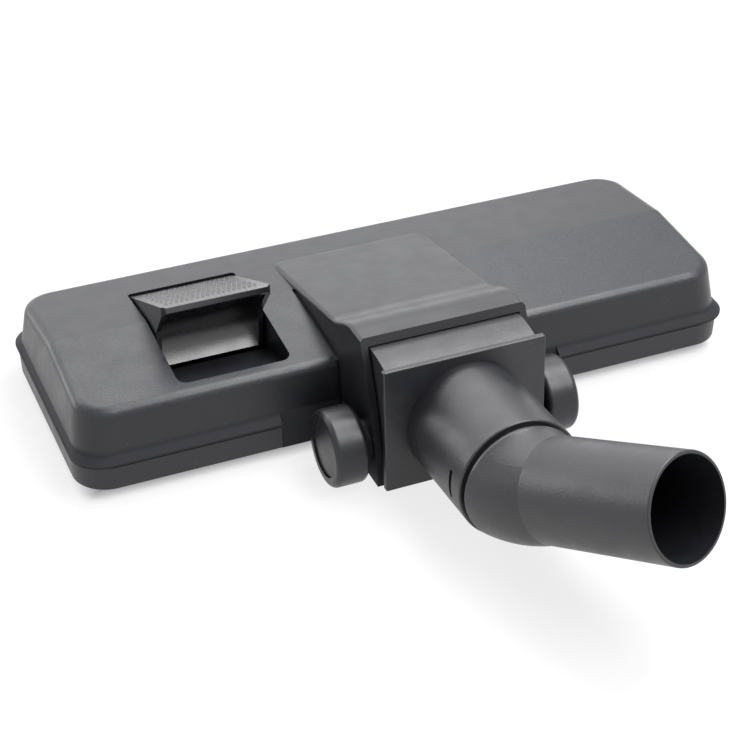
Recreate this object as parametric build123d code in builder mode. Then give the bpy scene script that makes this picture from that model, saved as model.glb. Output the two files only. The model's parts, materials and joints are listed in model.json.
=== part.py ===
from build123d import *
import os
from math import cos, radians, sin, sqrt, tan

# Floor head of a vacuum cleaner: X along the head, +Y to its front, Z up from the floor, in mm.
# Sizes that end in _from_rear are measured forward from the rear edge of the lip.

# Head housing
head_length = 272.4
head_depth = 103.0
rear_y = 26.0
lip_corner_r = 12.0
lip_thickness = 1.4
lip_edge_r = 0.5
seam_z = 15.2
seam_gap = 0.5
wall = 2.2
wall_draft = 10.0
end_draft = 8.0
rear_wall_inset = 2.5
front_wall_inset = 2.5
end_wall_inset = 1.4
body_corner_r = 13.0
foot_inset = 0.5
foot_rise = 2.4
foot_blend_r = 3.0
foot_sink = 1.1
roof_edge_r = 4.0
ridge_from_rear = 52.0
ridge_z = 40.0
roof_rear_z = 35.0
roof_front_z = 34.0
apron_half = 58.0
apron_gap = 0.1
groove_width = 1.0
groove_depth = 1.2

# Base tray and its stepped floor
band_inset = 0.6
band_draft = 2.0
band_corner_r = 14.0
band_bottom_z = 5.2
floor_z = 1.0
rim_width = 10.0
ramp_run = 10.0
end_rim_width = 4.0
end_ramp_run = 5.0

# Wheels and axles
wheel_r = 14.8
wheel_width = 13.0
wheel_face_x = 49.3
wheel_edge_r = 2.2
wheel_hub_r = 6.5
wheel_rim = 2.5
wheel_pocket_depth = 6.5
axle_behind_rear = 18.5
axle_r = 4.0
axle_head_r = 10.4
axle_head_thickness = 1.6
axle_recess = 0.7
axle_head_clearance = 0.3
axle_boss_r = 8.0
axle_end_past_ear = 0.6
running_clearance = 0.05
press_clearance = 0.02
side_clearance = 0.5

# Neck: drum about the wheel axis, square plate and stub
neck_tilt = 3.5
drum_r = 38.2
drum_half = 29.8
drum_front_angle = 35.0
drum_wall = 2.4
belly_r = 13.6
belly_drop = 11.8
belly_front_angle = 26.0
plate_half = 32.0
plate_top = 37.5
plate_bottom = -12.7
plate_face = 17.8
plate_thickness = 2.2
plate_corner_r = 0.8
plate_edge_r = 0.5
stub_rise = 10.6
stub_reach = 61.1
stub_r = 23.25
stub_bore_r = 21.15
rim_edge_r = 0.6

# Hood over the neck
hood_gap = 0.4
hood_wall = 2.7
hood_lip = 3.0
hood_front_from_rear = 78.0
hood_front_z = 37.7
hood_foot_from_rear = 15.0
hood_foot_z = 48.4
hood_crest_from_rear = -8.0
hood_mouth_behind = 14.5
hood_edge_r = 1.8
hood_corner_r = 4.0
cheek_bottom_z = 2.0
cheek_bottom_behind = 31.5
cheek_belly_behind = 25.5
cheek_belly_z = 28.8
cheek_heel_behind = 8.0
duct_join_z = 22.8

# Swivel elbow and its snap ring
swivel_angle = 45.7
bend_angle = 27.9
bend_after_joint = 4.7
leg_length = 72.2
leg_straight_from = 15.0
bend_mid_from = 4.0
bend_mid_angle = 12.0
collar_r = 22.2
collar_width = 1.5
bend_r = 20.8
elbow_r = 18.7
socket_r = 17.5
socket_depth = 45.0
elbow_bore_r = 16.8
joint_gap = 1.6
spigot_length = 16.0
clip_behind_rim = 8.0
clip_thickness = 1.2
clip_width = 1.65
clip_clearance = 0.3
clip_gap = 22.0
tab_r = 21.7
slit_length = 11.0

# Pedal and its well
well_x = -71.0
well_half = 22.0
well_rear_from_rear = 12.0
well_front_from_rear = 78.2
well_rear_corner_r = 4.0
well_front_corner_r = 1.5
well_wall = 1.8
well_bottom_z = 19.3
well_ramp_top_z = 31.8
well_ramp_end_from_rear = 40.9
well_ramp_end_z = 23.6
pedal_clearance = 0.6
pedal_left_gap = 0.7
hinge_from_rear = 73.2
hinge_z = 29.8
hinge_pin_r = 2.0
hinge_barrel_r = 4.2
pad_front_from_rear = 77.4
pad_front_z = 36.2
pad_rear_from_rear = 31.2
pad_rear_z = 57.7
pad_lip = 3.0
pad_thickness = 2.8
pad_edge_r = 0.6
pad_side_chamfer = 1.5
pocket_floor_from_rear = 42.8
pocket_floor_z = 24.3
pocket_depth_from_rear = 49.0
pocket_depth_z = 37.3
pocket_wall = 2.3
cheek_waist_from_rear = 41.5
cheek_waist_z = 41.2
pedal_cheek = 2.0
pedal_press_angle = 23.0
crank_r = 15.0
crank_pin_r = 1.8
crank_arm_width = 3.0
crank_arm_margin = 3.4

# Brush carrier, bars and bristles
brush_end_inset = 26.0
rear_brush_from_rear = 25.0
front_brush_from_rear = 75.0
bar_width = 5.0
bar_height = 5.0
bar_bottom_z = 7.0
bristle_width = 4.0
bristle_tip_z = 0.4
bristle_seat = 1.5
rail_height = 2.4
cross_rise = 2.2
cross_width = 8.0
cross_height = 3.0
lug_thickness = 6.0
lug_width = 8.0
lug_clearance = 0.4
lug_head = 4.0
pin_slot_clearance = 0.35
pin_slot_play = 1.0
bar_slot_clearance = 0.7
spring_well_clearance = 0.3
spring_r = 3.2
spring_wire_r = 0.5
spring_wire_sides = 6
spring_turns = 4
spring_seat_z = 29.8
spring_boss_r = 4.6
guide_pin_r = 2.2
guide_pin_bottom_z = 9.0

# Sole plate, suction channel, duct and lint strips
sole_end_inset = 16.0
sole_thickness = 1.0
sole_lift_run = 7.5
sole_corner_r = 6.0
channel_end_inset = 30.0
channel_from_rear = 50.0
channel_width = 11.0
channel_depth = 5.0
mouth_half = 29.0
mouth_width = 15.0
duct_rear_from_rear = 33.0
duct_front_from_rear = 60.0
duct_floor_z = 15.6
duct_gap = 0.3
strip_end_inset = 40.0
strip_width = 7.0
strip_offset = 12.5
strip_face_z = 0.2
strip_gap = 0.3

# Screws
case_post_r = 4.0
case_boss_r = 5.0
case_boss_top_z = 12.8
case_screw_r = 1.4
case_screw_length = 17.0
case_head_r = 3.0
case_head_height = 1.9
case_head_z = 8.3
case_screw_side_x = 66.0
case_screw_end_inset = 13.0
case_screw_rim = 9.5
sole_screw_end_inset = 21.0
sole_screw_spread = 14.0
sole_screw_r = 1.2
sole_head_depth = 1.1
sole_screw_length = 8.0
sole_boss_r = 3.2
sole_boss_height = 6.5
screw_clearance = 0.15

# Places worked out from the sizes
front_y = rear_y + head_depth
mid_y = rear_y + head_depth / 2
ridge_y = rear_y + ridge_from_rear
lip_top_z = seam_z + lip_thickness
wall_lean = tan(radians(wall_draft))
end_lean = tan(radians(end_draft))
wall_half = head_length / 2 - end_wall_inset
wall_rear_y = rear_y + rear_wall_inset
wall_front_y = front_y - front_wall_inset
wall_inner_y = wall_rear_y + wall
apron_bottom_y = wall_rear_y - (seam_z - band_bottom_z) * wall_lean
tray_top_z = seam_z - seam_gap
tray_back_y = wall_inner_y + seam_gap
brush_half = head_length / 2 - brush_end_inset
channel_half = head_length / 2 - channel_end_inset
strip_half = head_length / 2 - strip_end_inset
sole_half = head_length / 2 - sole_end_inset
sole_screw_x = head_length / 2 - sole_screw_end_inset
case_screw_end_x = head_length / 2 - case_screw_end_inset
spring_x = well_half - well_x + well_wall + spring_boss_r + spring_well_clearance
floor_top_z = floor_z + wall
pivot_y = rear_y - axle_behind_rear
pivot_z = wheel_r
wheel_inner_x = wheel_face_x - wheel_width
axle_head_x = wheel_face_x - axle_recess - axle_head_thickness
hood_inner_half = drum_half + side_clearance
hood_half = hood_inner_half + hood_wall
hood_under_z = pivot_z + drum_r + hood_gap
hood_top_z = hood_under_z + hood_lip
hood_front_y = rear_y + hood_front_from_rear
hood_foot_y = rear_y + hood_foot_from_rear
hood_crest_y = rear_y + hood_crest_from_rear
hood_mouth_y = rear_y - hood_mouth_behind
channel_y = rear_y + channel_from_rear
channel_roof_z = floor_z + channel_depth
duct_rear_y = rear_y + duct_rear_from_rear
duct_front_y = rear_y + duct_front_from_rear
duct_top_z = duct_join_z - duct_gap
bridge_rear_y = tray_back_y + (duct_top_z - seam_z) * wall_lean
strip_ys = (channel_y - strip_offset, channel_y + strip_offset)
well_y = rear_y + (well_rear_from_rear + well_front_from_rear) / 2
well_depth = well_front_from_rear - well_rear_from_rear
pedal_half = well_half - (pedal_left_gap + pedal_clearance) / 2
pedal_x = well_x + (pedal_left_gap - pedal_clearance) / 2
barrel_half = well_half - pedal_clearance
hinge_y = rear_y + hinge_from_rear
pad_front_y = rear_y + pad_front_from_rear
pad_rear_y = rear_y + pad_rear_from_rear
pad_slope = (pad_rear_z - pad_front_z) / (pad_front_y - pad_rear_y)
pocket_floor_y = rear_y + pocket_floor_from_rear
pocket_depth_y = rear_y + pocket_depth_from_rear
crank_rest_angle = pedal_press_angle / 2
crank_y = hinge_y - crank_r * cos(radians(crank_rest_angle))
crank_z = hinge_z + crank_r * sin(radians(crank_rest_angle))
rear_brush_y = rear_y + rear_brush_from_rear
front_brush_y = rear_y + front_brush_from_rear
bar_top_z = bar_bottom_z + bar_height
cross_z = bar_top_z + cross_rise
cross_top_z = cross_z + cross_height
spring_places = [(-spring_x, channel_y), (spring_x, channel_y)]
case_screw_places = [
    (side * x, y)
    for side in (-1, 1)
    for x, y in (
        (case_screw_side_x, rear_y + case_screw_rim),
        (case_screw_side_x, front_y - case_screw_rim),
        (case_screw_end_x, mid_y),
    )
]
sole_screw_places = [
    (side * sole_screw_x, channel_y + step * sole_screw_spread) for side in (-1, 1) for step in (-1, 1)
]

# Planes of the tilted neck and of the elbow
tilt_cos = cos(radians(neck_tilt))
tilt_sin = sin(radians(neck_tilt))
pivot = (0, pivot_y, pivot_z)
stub_plane = Plane(origin=pivot, x_dir=(1, 0, 0), z_dir=(0, -tilt_cos, tilt_sin))
neck_side_plane = Plane(origin=pivot, x_dir=(0, tilt_cos, -tilt_sin), z_dir=(1, 0, 0))
joint_centre = stub_plane.from_local_coords((0, stub_rise, stub_reach))
joint_plane = Plane(origin=joint_centre, x_dir=(1, 0, 0), z_dir=stub_plane.z_dir)
bend_dir = joint_plane.x_dir * cos(radians(swivel_angle)) + joint_plane.y_dir * sin(radians(swivel_angle))
bend_side = joint_plane.z_dir.cross(bend_dir)
bend_corner = joint_plane.origin + joint_plane.z_dir * bend_after_joint


def bend_section(angle, distance):
    """Plane across the elbow, turned by angle and moved along its leg from the corner."""
    leg_dir = joint_plane.z_dir * cos(radians(bend_angle)) + bend_dir * sin(radians(bend_angle))
    normal = joint_plane.z_dir * cos(radians(angle)) + bend_dir * sin(radians(angle))
    return Plane(origin=bend_corner + leg_dir * distance, x_dir=bend_side, z_dir=normal)


elbow_plane = Plane(origin=joint_centre, x_dir=bend_side, z_dir=joint_plane.z_dir)
bend_plane = bend_section(bend_mid_angle, bend_mid_from)
leg_plane = bend_section(bend_angle, 0)
mouth_plane = leg_plane.offset(leg_length)


def block(x, y, z):
    """Box between the two ends given for each axis."""
    with BuildPart() as solid:
        with BuildSketch(Plane.XY.offset(z[0])):
            with Locations(((x[0] + x[1]) / 2, (y[0] + y[1]) / 2)):
                Rectangle(x[1] - x[0], y[1] - y[0])
        extrude(amount=z[1] - z[0])
    return solid.part


def strip(half, y, width, bottom_z, top_z):
    """Straight bar along the head, centred on y."""
    return block((-half, half), (y - width / 2, y + width / 2), (bottom_z, top_z))


def posts(places, radius, bottom_z, top_z):
    """Upright round posts at the places given in X and Y."""
    with BuildPart() as solid:
        with BuildSketch(Plane.XY.offset(bottom_z)):
            with Locations(*places):
                Circle(radius)
        extrude(amount=top_z - bottom_z)
    return solid.part


def rod(y, z, radius, x_from, x_to):
    """Round rod along X."""
    with BuildPart() as solid:
        with BuildSketch(Plane.YZ.offset(x_from)):
            with Locations((y, z)):
                Circle(radius)
        extrude(amount=x_to - x_from)
    return solid.part


def prism(points, half, x=0.0):
    """Outline in Y and Z spread by half to each side of x."""
    with BuildPart() as solid:
        with BuildSketch(Plane.YZ.offset(x)):
            with BuildLine():
                Polyline(*points, close=True)
            make_face()
        extrude(amount=half, both=True)
    return solid.part


def frustum(half, rear, front, bottom_z, rise, end_run, rear_run, front_run, corner_r):
    """Block with rounded corners whose walls lean in by the runs given over its rise."""
    top_z = bottom_z + rise
    with BuildPart() as solid:
        side_outline = (
            (rear, bottom_z),
            (rear + rear_run, top_z),
            (front - front_run, top_z),
            (front, bottom_z),
        )
        add(prism(side_outline, half))
        with BuildSketch(Plane.XZ.offset(-front)):
            with BuildLine():
                Polyline(
                    (half, bottom_z),
                    (half - end_run, top_z),
                    (end_run - half, top_z),
                    (-half, bottom_z),
                    close=True,
                )
            make_face()
        extrude(amount=front - rear, mode=Mode.INTERSECT)
        fillet(solid.edges().filter_by(lambda edge: abs((edge % 0.5).Z) > 0.3), corner_r)
    return solid.part


def head_block(inset, drop):
    """Drafted block under the two roof slopes, drawn in by inset and lowered by drop."""
    rise = ridge_z - seam_z + wall
    run = rise * wall_lean
    with BuildPart() as solid:
        add(
            frustum(
                wall_half - inset,
                wall_rear_y + inset,
                wall_front_y - inset,
                seam_z,
                rise,
                rise * end_lean,
                run,
                run,
                body_corner_r - inset,
            )
        )
        roof_outline = (
            (rear_y, seam_z),
            (rear_y, roof_rear_z - drop),
            (ridge_y, ridge_z - drop),
            (front_y, roof_front_z - drop),
            (front_y, seam_z),
        )
        add(prism(roof_outline, head_length / 2), mode=Mode.INTERSECT)
    return solid.part


def tray_block(inset, lift):
    """Drafted block of the tray with its stepped floor, drawn in by inset and raised by lift."""
    half = head_length / 2 - band_inset
    rear = rear_y + band_inset
    front = front_y - band_inset
    low = floor_z + lift
    rim = band_bottom_z + lift
    with BuildPart() as solid:
        with BuildSketch(Plane.XY.offset(tray_top_z)):
            with Locations((0, mid_y)):
                RectangleRounded(2 * (half - inset), front - rear - 2 * inset, band_corner_r - inset)
        extrude(amount=low - tray_top_z, taper=band_draft)
        floor_outline = (
            (rear, tray_top_z),
            (rear, rim),
            (rear_y + rim_width, rim),
            (rear_y + rim_width + ramp_run, low),
            (front_y - rim_width - ramp_run, low),
            (front_y - rim_width, rim),
            (front, rim),
            (front, tray_top_z),
        )
        add(prism(floor_outline, half), mode=Mode.INTERSECT)
        with BuildSketch(Plane.XZ.offset(-front)):
            with BuildLine():
                Polyline(
                    (half, tray_top_z),
                    (half, rim),
                    (half - end_rim_width, rim),
                    (half - end_rim_width - end_ramp_run, low),
                    (end_rim_width + end_ramp_run - half, low),
                    (end_rim_width - half, rim),
                    (-half, rim),
                    (-half, tray_top_z),
                    close=True,
                )
            make_face()
        extrude(amount=front - rear, mode=Mode.INTERSECT)
    return solid.part


def hood_slope_z(y):
    """Height of the straight slope of the hood at y."""
    return hood_front_z + (hood_foot_z - hood_front_z) * (hood_front_y - y) / (hood_front_y - hood_foot_y)


def pad_under_z(y):
    """Height of the underside of the pedal pad at y."""
    return pad_front_z + pad_slope * (pad_front_y - y) - pad_thickness * sqrt(1 + pad_slope**2)


def sole_holes(clearance):
    """Countersunk screw shapes of the sole, grown by clearance."""
    with BuildPart() as solid:
        with BuildSketch(Plane.XY.offset(floor_z - sole_thickness)):
            with Locations(*sole_screw_places):
                Circle(sole_screw_r + sole_head_depth + clearance)
        extrude(amount=sole_head_depth, taper=45)
        add(posts(sole_screw_places, sole_screw_r + clearance, floor_z - sole_thickness, sole_screw_length))
    return solid.part


# Hood: long slope, step up to the lip over the neck, and cheeks down to the wheel axis
with BuildPart() as hood:
    with BuildSketch(Plane.YZ):
        with BuildLine():
            mouth_top = (hood_mouth_y, hood_top_z)
            heel = (rear_y - cheek_bottom_behind, cheek_bottom_z)
            slope = Line((hood_front_y, hood_front_z), (hood_foot_y, hood_foot_z))
            Spline((hood_foot_y, hood_foot_z), (hood_crest_y, hood_top_z), tangents=(slope % 1, (-1, 0)))
            Line((hood_crest_y, hood_top_z), mouth_top)
            ThreePointArc(mouth_top, (rear_y - cheek_belly_behind, cheek_belly_z), heel)
            Polyline(
                heel,
                (rear_y - cheek_heel_behind, cheek_bottom_z),
                (wall_inner_y, band_bottom_z),
                (wall_inner_y, duct_join_z),
                (hood_front_y, duct_join_z),
                (hood_front_y, hood_front_z),
            )
        make_face()
    extrude(amount=hood_half, both=True)
    fillet(hood.edges().filter_by(Axis.Z).group_by(Axis.Y)[-1], hood_corner_r)
    hood_top = hood.faces().filter_by(lambda face: face.normal_at().Z > 0.3)
    hood_rim = hood_top.edges().filter_by(
        lambda edge: abs((edge % 0.5).X) < 0.9 or (edge @ 0.5).Y > hood_front_y - hood_corner_r
    )
    fillet(hood_rim, hood_edge_r)

# Space under the hood, from the mouth to the duct of the tray
with BuildPart() as hood_space:
    hood_outline = (
        (rear_y - 2 * cheek_bottom_behind, 0),
        (rear_y - 2 * cheek_bottom_behind, hood_under_z),
        (hood_crest_y, hood_under_z),
        (hood_foot_y - hood_lip, hood_slope_z(hood_foot_y) - hood_lip),
        (duct_front_y, hood_slope_z(duct_front_y) - hood_lip),
        (duct_front_y, seam_z),
        (tray_back_y, seam_z),
        (tray_back_y, duct_floor_z),
        (apron_bottom_y, duct_floor_z),
        (apron_bottom_y, 0),
    )
    add(prism(hood_outline, hood_inner_half))
    front_rear_y = duct_front_y + hood_wall
    front_front_y = hood_front_y - hood_wall
    front_outline = (
        (front_rear_y, seam_z),
        (front_rear_y, hood_slope_z(front_rear_y) - hood_lip),
        (front_front_y, hood_slope_z(front_front_y) - hood_lip),
        (front_front_y, seam_z),
    )
    add(prism(front_outline, hood_inner_half))


def well_shape(grow):
    """Upright block of the pedal well, larger all round by grow."""
    with BuildPart() as solid:
        with BuildSketch(Plane.XY.offset(well_bottom_z)) as outline:
            with Locations((well_x, well_y)):
                Rectangle(2 * (well_half + grow), well_depth + 2 * grow)
            fillet(outline.vertices().group_by(Axis.Y)[0], well_rear_corner_r + grow)
            fillet(outline.vertices().group_by(Axis.Y)[-1], well_front_corner_r + grow)
        extrude(amount=ridge_z - well_bottom_z)
    return solid.part


# Pedal well: box under the roof, with a toe ramp behind the pedal
with BuildPart() as well_box:
    add(well_shape(well_wall))
    add(head_block(wall, wall / 2), mode=Mode.INTERSECT)

with BuildPart() as well_space:
    add(well_shape(0))
    ramp_rear_y = rear_y + well_rear_from_rear
    ramp_end_y = rear_y + well_ramp_end_from_rear
    ramp_outline = (
        (ramp_rear_y - well_wall, well_ramp_top_z),
        (ramp_rear_y, well_ramp_top_z),
        (ramp_end_y, well_ramp_end_z),
        (ramp_end_y, well_ramp_end_z - well_wall),
        (ramp_rear_y, well_ramp_top_z - well_wall),
        (ramp_rear_y - well_wall, well_ramp_top_z - well_wall),
    )
    add(prism(ramp_outline, well_half + well_wall, well_x), mode=Mode.SUBTRACT)

# Posts under the roof for the case screws
with BuildPart() as case_posts:
    add(posts(case_screw_places, case_post_r, seam_z, ridge_z))
    add(head_block(wall, wall / 2), mode=Mode.INTERSECT)
    add(posts(case_screw_places, case_post_r, case_boss_top_z, seam_z))

# Flared foot of the walls on the lip
with BuildPart() as wall_foot:
    foot_climb = lip_thickness + foot_rise
    foot_end_run = (end_wall_inset - foot_inset + foot_climb * end_lean) * foot_sink
    foot_rear_run = (rear_wall_inset - foot_inset + foot_climb * wall_lean) * foot_sink
    foot_front_run = (front_wall_inset - foot_inset + foot_climb * wall_lean) * foot_sink
    foot_length = head_length - 2 * foot_inset
    foot_depth = head_depth - 2 * foot_inset
    foot_top_y = mid_y + (foot_rear_run - foot_front_run) / 2
    with BuildSketch(Plane.XY.offset(lip_top_z)):
        with Locations((0, mid_y)):
            RectangleRounded(foot_length, foot_depth, lip_corner_r - foot_inset)
    with BuildSketch(Plane.XY.offset(lip_top_z + foot_rise * foot_sink)):
        with Locations((0, foot_top_y)):
            RectangleRounded(
                foot_length - 2 * foot_end_run,
                foot_depth - foot_rear_run - foot_front_run,
                body_corner_r,
            )
    loft()

# Grooves that part the roof and the rear wall from the cheeks of the hood
with BuildPart() as groove_slabs:
    for side in (-1, 1):
        slab_x = sorted((side * hood_half, side * (hood_half + groove_width)))
        add(block(slab_x, (rear_y, ridge_y), (seam_z, ridge_z)))

with BuildPart() as cheek_grooves:
    add(head_block(0, 0))
    add(head_block(groove_depth, groove_depth), mode=Mode.SUBTRACT)
    add(groove_slabs.part, mode=Mode.INTERSECT)

# Upper housing: drafted shell with lip and apron, hood, pedal well, posts and guide pins
with BuildPart() as top_housing:
    add(head_block(0, 0))
    roof = top_housing.faces().filter_by(lambda face: face.normal_at().Z > 0.9)
    fillet(roof.edges().filter_by(lambda edge: (edge @ 0.5).Z < ridge_z - 0.01), roof_edge_r)
    with BuildSketch(Plane.XY.offset(seam_z)):
        with Locations((0, mid_y)):
            RectangleRounded(head_length, head_depth, lip_corner_r)
    extrude(amount=lip_thickness)
    lip_sides = top_housing.faces().filter_by(lambda face: abs(face.normal_at().Z) < 0.001)
    fillet(lip_sides.edges().filter_by(lambda edge: abs((edge % 0.5).Z) < 0.001), lip_edge_r)
    add(wall_foot.part)
    foot_top_z = lip_top_z + foot_rise / 2
    creases = top_housing.edges().filter_by_position(Axis.Z, foot_top_z, foot_top_z + foot_rise)
    fillet(creases, foot_blend_r)
    add(head_block(wall, wall), mode=Mode.SUBTRACT)
    apron_cut_z = lip_top_z + 2 * foot_rise
    apron_cut = (
        (rear_y, seam_z),
        (rear_y, apron_cut_z),
        (wall_rear_y + (apron_cut_z - seam_z) * wall_lean, apron_cut_z),
        (wall_rear_y, seam_z),
    )
    add(prism(apron_cut, apron_half), mode=Mode.SUBTRACT)
    apron_outline = (
        (apron_bottom_y, band_bottom_z),
        (wall_rear_y, seam_z),
        (wall_inner_y, seam_z),
        (wall_inner_y, band_bottom_z),
    )
    add(prism(apron_outline, apron_half))
    add(hood.part)
    add(well_box.part)
    add(case_posts.part)
    add(posts(spring_places, spring_boss_r, spring_seat_z, ridge_z - wall))
    add(posts(spring_places, guide_pin_r, guide_pin_bottom_z, spring_seat_z))
    add(rod(pivot_y, pivot_z, axle_boss_r, hood_inner_half, wheel_inner_x - side_clearance))
    add(rod(pivot_y, pivot_z, axle_boss_r, side_clearance - wheel_inner_x, -hood_inner_half))
    add(hood_space.part, mode=Mode.SUBTRACT)
    add(cheek_grooves.part, mode=Mode.SUBTRACT)
    add(well_space.part, mode=Mode.SUBTRACT)
    add(
        rod(
            hinge_y,
            hinge_z,
            hinge_pin_r + press_clearance,
            well_x - well_half - well_wall,
            well_x + well_half + well_wall,
        ),
        mode=Mode.SUBTRACT,
    )
    add(rod(pivot_y, pivot_z, axle_r + press_clearance, -wheel_face_x, wheel_face_x), mode=Mode.SUBTRACT)
    add(
        posts(
            case_screw_places,
            case_screw_r + press_clearance,
            case_boss_top_z,
            case_head_z + case_screw_length,
        ),
        mode=Mode.SUBTRACT,
    )

# Base tray: band under the lip, stepped floor, suction channel, duct and screw bosses
with BuildPart() as tray_bosses:
    add(posts(case_screw_places, case_boss_r, floor_z, case_boss_top_z))
    add(tray_block(wall / 2, wall / 2), mode=Mode.INTERSECT)

with BuildPart() as base_tray:
    add(tray_block(0, 0))
    add(tray_block(wall, wall), mode=Mode.SUBTRACT)
    notch_half = apron_half + apron_gap
    add(block((-notch_half, notch_half), (rear_y, tray_back_y), (0, seam_z)), mode=Mode.SUBTRACT)
    back_half = notch_half + wall
    add(block((-back_half, back_half), (tray_back_y, tray_back_y + wall), (band_bottom_z, tray_top_z)))
    add(tray_bosses.part)
    add(posts(sole_screw_places, sole_boss_r, floor_z, floor_top_z + sole_boss_height))
    add(strip(channel_half + wall, channel_y, channel_width + 2 * wall, floor_z, channel_roof_z + wall))
    add(block((-hood_half, hood_half), (duct_rear_y - wall, duct_front_y + wall), (floor_z, duct_top_z)))
    add(block((-hood_half, hood_half), (tray_back_y, duct_rear_y), (duct_floor_z, tray_top_z)))
    add(block((-hood_half, hood_half), (bridge_rear_y, duct_rear_y), (tray_top_z, duct_top_z)))
    add(
        block(
            (-hood_inner_half, hood_inner_half), (duct_rear_y, duct_front_y), (floor_top_z, duct_top_z)
        ),
        mode=Mode.SUBTRACT,
    )
    add(
        block(
            (-hood_inner_half, hood_inner_half),
            (tray_back_y, duct_rear_y),
            (duct_floor_z + wall, duct_top_z),
        ),
        mode=Mode.SUBTRACT,
    )
    add(strip(channel_half, channel_y, channel_width, 0, channel_roof_z), mode=Mode.SUBTRACT)
    add(strip(mouth_half, channel_y, mouth_width, 0, channel_roof_z + wall), mode=Mode.SUBTRACT)
    for brush_y in (rear_brush_y, front_brush_y):
        add(
            strip(
                brush_half + bar_slot_clearance,
                brush_y,
                bar_width + 2 * bar_slot_clearance,
                0,
                floor_top_z,
            ),
            mode=Mode.SUBTRACT,
        )
    add(
        posts(case_screw_places, case_head_r + screw_clearance, 0, case_head_z),
        mode=Mode.SUBTRACT,
    )
    add(
        posts(case_screw_places, case_screw_r + screw_clearance, 0, case_boss_top_z),
        mode=Mode.SUBTRACT,
    )
    add(sole_holes(press_clearance), mode=Mode.SUBTRACT)

# Sole plate: pressed sheet under the tray with turned-up front and rear edges
with BuildPart() as sole_plate:
    ramp_slope = (band_bottom_z - floor_z) / ramp_run
    ramp_stretch = sqrt(1 + ramp_slope**2)
    flat_rear_y = rear_y + rim_width + ramp_run
    flat_front_y = front_y - rim_width - ramp_run
    lift_z = floor_z + ramp_slope * sole_lift_run
    mitre = sole_thickness * (ramp_stretch - 1) / ramp_slope
    sole_outline = (
        (flat_rear_y - sole_lift_run, lift_z),
        (flat_rear_y, floor_z),
        (flat_front_y, floor_z),
        (flat_front_y + sole_lift_run, lift_z),
        (flat_front_y + sole_lift_run, lift_z - sole_thickness * ramp_stretch),
        (flat_front_y + mitre, floor_z - sole_thickness),
        (flat_rear_y - mitre, floor_z - sole_thickness),
        (flat_rear_y - sole_lift_run, lift_z - sole_thickness * ramp_stretch),
    )
    add(prism(sole_outline, sole_half))
    with BuildSketch(Plane.XY.offset(floor_z - sole_thickness)):
        with Locations((0, (flat_rear_y + flat_front_y) / 2)):
            RectangleRounded(
                2 * sole_half, flat_front_y - flat_rear_y + 2 * sole_lift_run, sole_corner_r
            )
    extrude(amount=lift_z, mode=Mode.INTERSECT)
    add(strip(channel_half, channel_y, channel_width, 0, floor_z), mode=Mode.SUBTRACT)
    add(strip(mouth_half, channel_y, mouth_width, 0, floor_z), mode=Mode.SUBTRACT)
    for strip_y in strip_ys:
        add(
            strip(strip_half + strip_gap, strip_y, strip_width + 2 * strip_gap, 0, floor_z),
            mode=Mode.SUBTRACT,
        )
    for brush_y in (rear_brush_y, front_brush_y):
        add(
            strip(
                brush_half + bar_slot_clearance,
                brush_y,
                bar_width + 2 * bar_slot_clearance,
                0,
                floor_z,
            ),
            mode=Mode.SUBTRACT,
        )
    add(sole_holes(screw_clearance), mode=Mode.SUBTRACT)

# Pile strips beside the suction slot
with BuildPart() as rear_lint_strip:
    add(strip(strip_half, strip_ys[0], strip_width, strip_face_z, floor_z))

with BuildPart() as front_lint_strip:
    add(strip(strip_half, strip_ys[1], strip_width, strip_face_z, floor_z))

# Screws that close the case and hold the sole
with BuildPart() as case_screws:
    add(posts(case_screw_places, case_head_r, case_head_z - case_head_height, case_head_z))
    add(posts(case_screw_places, case_screw_r, case_head_z, case_head_z + case_screw_length))

with BuildPart() as sole_screws:
    add(sole_holes(0))


def wheel_shape(side):
    """Wheel on the side given by its sign, with a recess for the axle head and a hollow back."""
    bore_r = axle_r + running_clearance
    recess_r = axle_head_r + axle_head_clearance
    recess_x = axle_head_x - axle_head_clearance
    pocket_x = wheel_inner_x + wheel_pocket_depth
    profile = (
        (wheel_inner_x, bore_r),
        (recess_x, bore_r),
        (recess_x, recess_r),
        (wheel_face_x, recess_r),
        (wheel_face_x, wheel_r),
        (wheel_inner_x, wheel_r),
        (wheel_inner_x, wheel_r - wheel_rim),
        (pocket_x, wheel_r - wheel_rim),
        (pocket_x, wheel_hub_r),
        (wheel_inner_x, wheel_hub_r),
    )
    with BuildPart() as solid:
        with BuildSketch(Plane(origin=pivot, x_dir=(1, 0, 0), z_dir=(0, -1, 0))):
            with BuildLine():
                Polyline(*[(side * x, r) for x, r in profile], close=True)
            make_face()
        revolve(axis=Axis(pivot, (1, 0, 0)))
        fillet(solid.edges().filter_by(GeomType.CIRCLE).sort_by(SortBy.RADIUS)[-2:], wheel_edge_r)
    return solid.part


def axle_shape(side):
    """Headed axle pin through wheel, cheek and neck on the side given by its sign."""
    inner_x = drum_half - drum_wall - axle_end_past_ear
    with BuildPart() as solid:
        add(rod(pivot_y, pivot_z, axle_r, side * inner_x, side * axle_head_x))
        add(rod(pivot_y, pivot_z, axle_head_r, side * axle_head_x, side * (wheel_face_x - axle_recess)))
    return solid.part


# Wheels and their axles
with BuildPart() as wheel_left:
    add(wheel_shape(-1))

with BuildPart() as wheel_right:
    add(wheel_shape(1))

with BuildPart() as axle_left:
    add(axle_shape(-1))

with BuildPart() as axle_right:
    add(axle_shape(1))

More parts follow.
